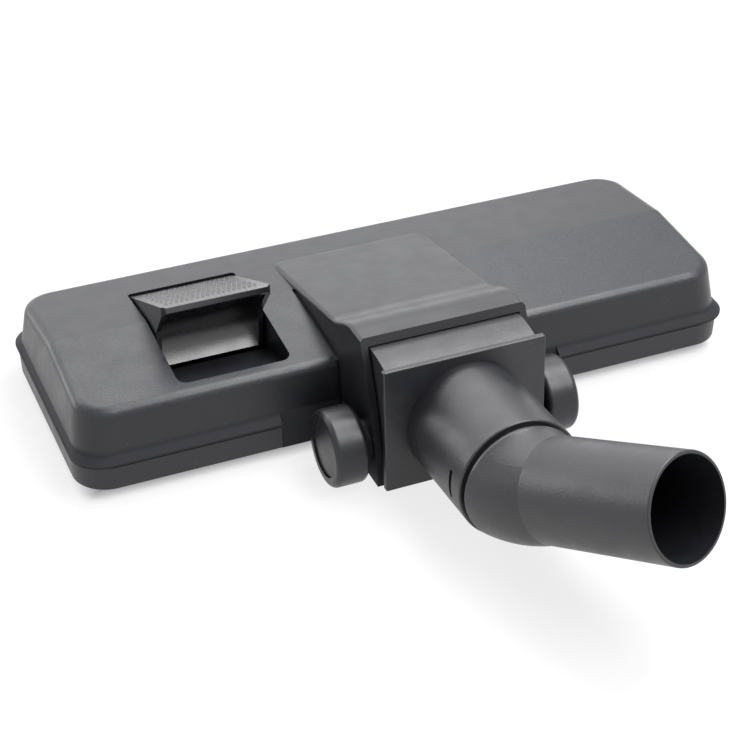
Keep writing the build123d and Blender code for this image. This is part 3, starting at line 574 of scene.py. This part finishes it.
@dataclass
class Mouldings:
    """The plastic mouldings and the metal parts that are shown as the CAD nodes are."""

    housing: MouldedPlastic = MouldedPlastic(
        "housing_plastic", zone=GrainZone.REAR_ROOF, foot_z=19.0 * MM
    )
    tube: MouldedPlastic = MouldedPlastic(
        "tube_plastic", grain_scale=1150.0, roughness=0.4, grain_depth=0.75, refraction=1.6
    )
    tray: MouldedPlastic = MouldedPlastic("tray_plastic", roughness=0.4, grain_depth=0.2)
    wheel: MouldedPlastic = MouldedPlastic("wheel_plastic", roughness=0.36, grain_depth=0.16)
    pedal: MouldedPlastic = MouldedPlastic(
        "pedal_plastic", roughness=0.27, grain_depth=0.1, dust=0.1, refraction=1.75
    )
    inner: MouldedPlastic = MouldedPlastic(
        "inner_plastic", colour=(0.05, 0.05, 0.055), grain_depth=0.2
    )
    sheet: PressedSteel = PressedSteel("sole_sheet")
    wire: PressedSteel = PressedSteel("plated_wire", roughness=0.24, drawn=(1.0, 1.0, 1.0))

    def dress(self) -> None:
        """Give every node that is shown its finish."""
        nodes_by_finish = {
            self.housing: ["top_housing"],
            self.tube: ["neck", "elbow"],
            self.tray: ["base_tray"],
            self.wheel: ["wheel_left", "wheel_right", "axle_left", "axle_right"],
            self.pedal: ["pedal"],
            self.inner: ["swivel_clip", "brush_carrier", "rear_brush_bar", "front_brush_bar"],
            self.sheet: ["sole_plate"],
            self.wire: ["pedal_pin", "carrier_spring_left", "carrier_spring_right"],
        }
        for finish, nodes in nodes_by_finish.items():
            material = finish.material()
            for node in nodes:
                Bench.paint(frame["nodes"][node], material)
                LOG.info("%s has finish %s", node, finish.name)


@dataclass
class KnurledPad:
    """Raised diamonds of the pedal's pad, in staggered rows."""

    pitch: float = 2.05 * MM
    row_pitch: float = 3.4 * MM
    fill: float = 0.86
    height: float = 0.45 * MM
    crown: float = 0.35
    sink: float = 0.05 * MM
    side_margin: float = 2.6 * MM
    end_margin: float = 2.4 * MM
    front_from_hinge: Triple = (0.0, 4.2 * MM, 6.4 * MM)
    rear_from_hinge: Triple = (0.0, -42.0 * MM, 27.9 * MM)
    smooth_angle: float = 10.0

    def build(self) -> bpy.types.Object:
        """Model one diamond and repeat it over the pad.

        Returns:
            The knurl as one piece.
        """
        low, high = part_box("pedal")
        front = joint_place("pedal_rock") + Vector(self.front_from_hinge)
        rear = joint_place("pedal_rock") + Vector(self.rear_from_hinge)
        along = (front - rear).normalized()
        slope = math.atan2(-along.z, along.y)
        normal = Vector((0.0, -along.z, along.y))
        length = (front - rear).length
        columns = int((high.x - low.x - 2 * self.side_margin) / self.pitch)
        pairs = int((length - 2 * self.end_margin) / (2 * self.row_pitch))
        Bench.clear()
        bpy.ops.mesh.primitive_cone_add(vertices=4, radius1=1.0, radius2=self.crown, depth=1.0)
        knurl = bpy.context.object
        knurl.name = "pad_knurl"
        Bench.select(knurl, lambda place: True)
        size = (0.5 * self.fill * self.pitch, self.fill * self.row_pitch, self.height)
        bpy.ops.transform.resize(value=size)
        Bench.leave()
        Bench.array(knurl, columns, (self.pitch, 0.0, 0.0))
        Bench.array(knurl, 2, (0.5 * self.pitch, self.row_pitch, 0.0))
        Bench.array(knurl, pairs, (0.0, 2 * self.row_pitch, 0.0))
        row_start = 0.5 * (length - (2 * pairs - 1) * self.row_pitch)
        start = rear + along * row_start + normal * (0.5 * self.height - self.sink)
        start.x = 0.5 * (low.x + high.x) - 0.5 * (columns - 0.5) * self.pitch
        Bench.settle(knurl, start, (-slope, 0.0, 0.0))
        return knurl

    def dress(self, knurl: bpy.types.Object) -> None:
        """Give the knurl the pedal's own finish and fasten it to the pedal.

        Args:
            knurl: The knurl as one piece.
        """
        Bench.paint(knurl, frame["nodes"]["pedal"].data.materials[0])
        Bench.mount(knurl, "pedal", "pedal_plastic", self.smooth_angle)


@dataclass
class BristleRow:
    """One brush row: round tufts of nylon that fan out towards the floor."""

    row: Row
    tuft_pitch: float = 3.6 * MM
    strands_across: int = 3
    strand_r: float = 0.16 * MM
    strand_sides: int = 5
    strand_gap: float = 0.42 * MM
    fan: float = 1.6
    stray: float = 0.16 * MM
    line_offset: float = 1.7 * MM
    root_colour: Triple = (0.012, 0.012, 0.013)
    tip_colour: Triple = (0.045, 0.044, 0.043)
    smooth_angle: float = 80.0
    seed: int = 11

    @property
    def node(self) -> str:
        """Name of the CAD node that the row stands for."""
        return f"{self.row.value}_bristles"

    def build(self) -> bpy.types.Object:
        """Model one tuft and repeat it along the row.

        Returns:
            The row as one piece.
        """
        low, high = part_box(self.node)
        depth = high.z - low.z - self.stray
        Bench.clear()
        bpy.ops.mesh.primitive_cylinder_add(
            vertices=self.strand_sides, radius=self.strand_r, depth=depth
        )
        tufts = bpy.context.object
        tufts.name = f"{self.row.value}_tufts"
        Bench.array(tufts, self.strands_across, (self.strand_gap, 0.0, 0.0))
        Bench.array(tufts, self.strands_across, (0.0, self.strand_gap, 0.0))
        shift = -0.5 * (self.strands_across - 1) * self.strand_gap
        Bench.settle(tufts, Vector((shift, shift, 0.0)))
        Bench.select(tufts, lambda place: place.z < 0.0)
        bpy.ops.transform.resize(value=(self.fan, self.fan, 1.0), center_override=(0.0, 0.0, 0.0))
        Bench.leave()
        count = int((high.x - low.x) / self.tuft_pitch - 0.5)
        Bench.array(tufts, count, (self.tuft_pitch, 0.0, 0.0))
        Bench.array(tufts, 2, (0.5 * self.tuft_pitch, self.line_offset, 0.0))
        Bench.select(tufts, lambda place: place.z < 0.0)
        bpy.ops.transform.vertex_random(offset=self.stray, uniform=1.0, normal=0.0, seed=self.seed)
        Bench.leave()
        middle = 0.5 * (low + high)
        start = Vector(
            (
                middle.x - 0.5 * (count - 0.5) * self.tuft_pitch,
                middle.y - 0.5 * self.line_offset,
                middle.z + 0.5 * self.stray,
            )
        )
        Bench.settle(tufts, start)
        return tufts

    def dress(self, tufts: bpy.types.Object) -> None:
        """Give the tufts their nylon and let them stand for the CAD block.

        Args:
            tufts: The row as one piece.
        """
        low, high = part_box(self.node)
        nylon = DyedFibre(
            f"{self.row.value}_nylon", self.root_colour, self.tip_colour, high.z, low.z
        )
        Bench.paint(tufts, nylon.material())
        Bench.mount(tufts, "brush", "bristle", self.smooth_angle)
        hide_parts(self.node)


@dataclass
class LintStrip:
    """One lint strip: woven backing with short pile that leans one way."""

    row: Row
    backing: float = 0.3 * MM
    pile_pitch: float = 0.85 * MM
    fibre_r: float = 0.34 * MM
    lean: float = 0.5 * MM
    stray: float = 0.12 * MM
    edge_r: float = 0.08 * MM
    tip_share: float = 0.25
    root_colour: Triple = (0.12, 0.008, 0.01)
    tip_colour: Triple = (0.4, 0.03, 0.035)
    smooth_angle: float = 50.0
    seed: int = 5

    @property
    def node(self) -> str:
        """Name of the CAD node that the strip stands for."""
        return f"{self.row.value}_lint_strip"

    def build(self) -> bpy.types.Object:
        """Model the backing and the pile.

        Returns:
            The strip as one piece.
        """
        low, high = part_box(self.node)
        size = high - low
        middle = 0.5 * (low + high)
        Bench.clear()
        bpy.ops.mesh.primitive_cube_add(size=1.0)
        sheet = bpy.context.object
        sheet.scale = (size.x, size.y, self.backing)
        Bench.settle(sheet, Vector((middle.x, middle.y, high.z - 0.5 * self.backing)))
        Bench.bevel(sheet, self.edge_r)
        depth = size.z - self.backing - self.stray
        Bench.clear()
        bpy.ops.mesh.primitive_cone_add(
            vertices=4, radius1=self.tip_share * self.fibre_r, radius2=self.fibre_r, depth=depth
        )
        pile = bpy.context.object
        Bench.select(pile, lambda place: place.z < 0.0)
        bpy.ops.transform.translate(value=(0.0, self.lean, 0.0))
        Bench.leave()
        columns = int((size.x - 2 * self.fibre_r) / self.pile_pitch)
        lines = int((size.y - 2 * self.fibre_r - self.lean) / self.pile_pitch)
        Bench.array(pile, columns, (self.pile_pitch, 0.0, 0.0))
        Bench.array(pile, lines, (0.0, self.pile_pitch, 0.0))
        Bench.select(pile, lambda place: place.z < 0.0)
        bpy.ops.transform.vertex_random(offset=self.stray, uniform=1.0, normal=0.0, seed=self.seed)
        Bench.leave()
        start = Vector(
            (
                middle.x - 0.5 * (columns - 1) * self.pile_pitch,
                middle.y - 0.5 * (lines - 1) * self.pile_pitch - 0.5 * self.lean,
                high.z - self.backing - 0.5 * depth,
            )
        )
        Bench.settle(pile, start)
        return Bench.join(f"{self.row.value}_pile", [sheet, pile])

    def dress(self, strip: bpy.types.Object) -> None:
        """Give the strip its red pile and let it stand for the CAD block.

        Args:
            strip: The strip as one piece.
        """
        low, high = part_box(self.node)
        fibre = DyedFibre(
            f"{self.row.value}_pile_fibre", self.root_colour, self.tip_colour, high.z, low.z
        )
        Bench.paint(strip, fibre.material())
        Bench.mount(strip, "head", "pile", self.smooth_angle)
        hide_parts(self.node)


@dataclass
class ScrewSet:
    """A set of cross-head screws that are driven from below."""

    node: str
    head: ScrewHead
    head_r: float
    head_height: float
    shank_r: float
    inner_x: float | None = None
    recess_reach: float = 0.72
    recess_width: float = 0.2
    recess_depth: float = 0.55
    head_sides: int = 28
    shank_sides: int = 16
    rounding: float = 0.12 * MM
    point: float = 0.35
    smooth_angle: float = 30.0

    def places(self) -> list[tuple[float, float]]:
        """Work out the screws' places from the node's box.

        Returns:
            Places across and along the head.
        """
        low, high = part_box(self.node)
        end_x = high.x - self.head_r
        rear_y, front_y = low.y + self.head_r, high.y - self.head_r
        corner_x = end_x if self.inner_x is None else self.inner_x
        places = [(side * corner_x, y) for side in (-1, 1) for y in (rear_y, front_y)]
        if self.inner_x is not None:
            places += [(side * end_x, 0.5 * (rear_y + front_y)) for side in (-1, 1)]
        return places

    def build_head(self) -> bpy.types.Object:
        """Model a head that faces down, with its cross recess.

        Returns:
            The head with its lowest face at the origin.
        """
        under_r = self.shank_r if self.head is ScrewHead.COUNTERSUNK else self.head_r
        Bench.clear()
        bpy.ops.mesh.primitive_cone_add(
            vertices=self.head_sides, radius1=self.head_r, radius2=under_r, depth=self.head_height
        )
        head = bpy.context.object
        Bench.settle(head, Vector((0.0, 0.0, 0.5 * self.head_height)))
        Bench.bevel(head, self.rounding)
        reach, width = 2 * self.recess_reach * self.head_r, 2 * self.recess_width * self.head_r
        for blade_size in ((reach, width), (width, reach)):
            Bench.clear()
            bpy.ops.mesh.primitive_cube_add(size=1.0)
            blade = bpy.context.object
            blade.scale = (*blade_size, 2 * self.recess_depth * self.head_height)
            Bench.settle(blade, Vector())
            Bench.cut(head, blade)
        return head

    def build(self) -> bpy.types.Object:
        """Model one screw and copy it to each place.

        Returns:
            The set as one piece.
        """
        low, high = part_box(self.node)
        head = self.build_head()
        length = high.z - low.z - self.head_height
        Bench.clear()
        bpy.ops.mesh.primitive_cylinder_add(
            vertices=self.shank_sides, radius=self.shank_r, depth=length
        )
        shank = bpy.context.object
        Bench.select(shank, lambda place: place.z > 0.0)
        bpy.ops.mesh.bevel(offset=self.point * self.shank_r, segments=2, affect="EDGES")
        Bench.leave()
        Bench.settle(shank, Vector((0.0, 0.0, self.head_height + 0.5 * length)))
        model = Bench.join("screw", [head, shank])
        copies = [Bench.copy(model, Vector((x, y, low.z))) for x, y in self.places()]
        bpy.data.objects.remove(model)
        return Bench.join(f"driven_{self.node}", copies)

    def dress(self, screws: bpy.types.Object, plating: bpy.types.Material) -> None:
        """Give the screws their plating and let them stand for the CAD node.

        Args:
            screws: The set as one piece.
            plating: Finish of the screws.
        """
        Bench.paint(screws, plating)
        Bench.mount(screws, "head", "steel", self.smooth_angle)
        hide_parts(self.node)


@dataclass(frozen=True)
class Softbox:
    """A soft studio lamp that faces the part."""

    name: str
    place: Triple
    width: float
    height: float
    power: float


@dataclass
class Studio:
    """Camera at the view of the photograph, soft lamps and a pale floor."""

    camera_place: Triple = (-0.2421, -0.4948, 0.4133)
    camera_target: Triple = (-0.00487, 0.0635, 0.0010)
    lens_mm: float = 87.83
    sensor_mm: float = 36.0
    lamp_target: Triple = (0.0, 0.03, 0.03)
    floor_size: float = 8.0
    floor_colour: tuple[float, float, float, float] = (0.9, 0.9, 0.9, 1.0)
    floor_glow: float = 0.8
    # width over which the painted shadow below the head fades in
    sole_shade: float = 12.0 * MM
    room_light: float = 0.25
    lamps: tuple[Softbox, ...] = (
        Softbox("far_strip", (0.4, 1.5, 0.06), 2.4, 0.12, 2.6),
        Softbox("far_low_softbox", (-0.25, 1.6, 0.55), 2.4, 0.5, 3.4),
        Softbox("far_high_softbox", (-0.15, 1.1, 1.15), 2.0, 0.6, 13.0),
        Softbox("left_softbox", (-1.0, 0.95, 0.22), 0.8, 0.4, 4.0),
        Softbox("top_softbox", (0.45, 0.25, 1.25), 0.7, 0.6, 12.0),
        Softbox("near_softbox", (0.45, -0.5, 1.1), 0.8, 0.8, 13.0),
    )

    @staticmethod
    def aim(item: bpy.types.Object, target: Triple) -> None:
        """Turn a lamp or the camera to look at a point.

        Args:
            item: Lamp or camera.
            target: Point to look at.
        """
        item.rotation_euler = (Vector(target) - item.location).to_track_quat("-Z", "Y").to_euler()

    def build(self) -> None:
        """Make the camera, the lamps, the floor and the world."""
        bpy.context.scene.view_settings.view_transform = "Standard"
        self.build_camera()
        self.build_lamps()
        self.build_floor()
        self.build_world()

    def build_camera(self) -> None:
        """Stand the camera where the photograph was taken."""
        scene = bpy.context.scene
        camera = bpy.data.objects.new("photo_camera", bpy.data.cameras.new("photo_camera"))
        camera.data.lens = self.lens_mm
        camera.data.sensor_width = self.sensor_mm
        camera.location = self.camera_place
        self.aim(camera, self.camera_target)
        scene.collection.objects.link(camera)
        scene.camera = camera

    def build_lamps(self) -> None:
        """Hang the soft lamps."""
        for softbox in self.lamps:
            lamp = bpy.data.lights.new(softbox.name, "AREA")
            lamp.shape = "RECTANGLE"
            lamp.size = softbox.width
            lamp.size_y = softbox.height
            lamp.energy = softbox.power
            item = bpy.data.objects.new(softbox.name, lamp)
            item.location = softbox.place
            self.aim(item, self.lamp_target)
            bpy.context.scene.collection.objects.link(item)

    @staticmethod
    def shown(tree: bpy.types.NodeTree) -> bpy.types.NodeSocket:
        """Tell rays that show the background from those that only bring light.

        Args:
            tree: Node tree to add to.

        Returns:
            A socket that is 1 for the rays of the camera, of reflections and of clear things.
        """
        path = tree.nodes.new("ShaderNodeLightPath").outputs
        result = path["Is Camera Ray"]
        for ray in ("Is Glossy Ray", "Is Transmission Ray"):
            either = tree.nodes.new("ShaderNodeMath")
            either.operation = "MAXIMUM"
            tree.links.new(result, either.inputs[0])
            tree.links.new(path[ray], either.inputs[1])
            result = either.outputs[0]
        return result

    def build_floor(self) -> None:
        """Lay the pale floor, with a painted shadow below the head."""
        Bench.clear()
        bpy.ops.mesh.primitive_plane_add(size=self.floor_size)
        floor = bpy.context.object
        floor.name = "studio_floor"
        nodes = NodeTree("studio_floor")
        # painted shadow: the floor's glow is masked off below the head
        share = nodes.math("MULTIPLY", self.shown(nodes.tree), self.glow_outside_painted_sole_shadow(nodes))
        matt = nodes.add("ShaderNodeBsdfDiffuse", {"Color": self.floor_colour})
        glow = nodes.add("ShaderNodeEmission", {"Color": WHITE, "Strength": 1.0})
        shader = nodes.add("ShaderNodeMixShader", {0: share, 1: matt.outputs[0], 2: glow.outputs[0]})
        Bench.paint(floor, nodes.finish(shader))

    def glow_outside_painted_sole_shadow(self, nodes: NodeTree) -> bpy.types.NodeSocket:
        """Share of glow of the floor, masked off to paint a shadow that keeps it dark below the head.

        Args:
            nodes: Tree of the floor's material.

        Returns:
            A socket that is 0 below the head and the full share away from it.
        """
        low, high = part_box("base_tray")
        middle, half = 0.5 * (low + high), 0.5 * (high - low)
        across, along, _ = nodes.axes()
        beside = nodes.math("ABSOLUTE", nodes.math("SUBTRACT", across, middle.x))
        before = nodes.math("ABSOLUTE", nodes.math("SUBTRACT", along, middle.y))
        past_end = nodes.spread(beside, half.x - self.sole_shade, half.x, 0.0, self.floor_glow)
        past_edge = nodes.spread(before, half.y - self.sole_shade, half.y, 0.0, self.floor_glow)
        return nodes.math("MAXIMUM", past_end, past_edge)

    def build_world(self) -> None:
        """Set the pale surroundings."""
        world = bpy.data.worlds.new("studio_world")
        bpy.context.scene.world = world
        world.use_nodes = True
        tree = world.node_tree
        strength = tree.nodes.new("ShaderNodeMapRange")
        strength.inputs[3].default_value = self.room_light
        strength.inputs[4].default_value = 1.0
        tree.links.new(self.shown(tree), strength.inputs[0])
        background = tree.nodes["Background"]
        background.inputs["Color"].default_value = WHITE
        tree.links.new(strength.outputs[0], background.inputs["Strength"])


def main() -> None:
    """Build the finishes, the pieces and the studio."""
    logging.basicConfig(level=logging.INFO)
    Mouldings().dress()
    pad = KnurledPad()
    pad.dress(pad.build())
    for row in Row:
        bristles = BristleRow(row)
        bristles.dress(bristles.build())
        strip = LintStrip(row)
        strip.dress(strip.build())
    plating = PressedSteel("screw_plating", roughness=0.26, drawn=(1.0, 1.0, 1.0)).material()
    for screws in (
        ScrewSet(
            "case_screws",
            ScrewHead.PAN,
            head_r=3.0 * MM,
            head_height=1.9 * MM,
            shank_r=1.4 * MM,
            inner_x=66.0 * MM,
        ),
        ScrewSet(
            "sole_screws", ScrewHead.COUNTERSUNK, head_r=2.3 * MM, head_height=1.1 * MM, shank_r=1.2 * MM
        ),
    ):
        screws.dress(screws.build(), plating)
    Studio().build()


if __name__ == "__main__":
    main()
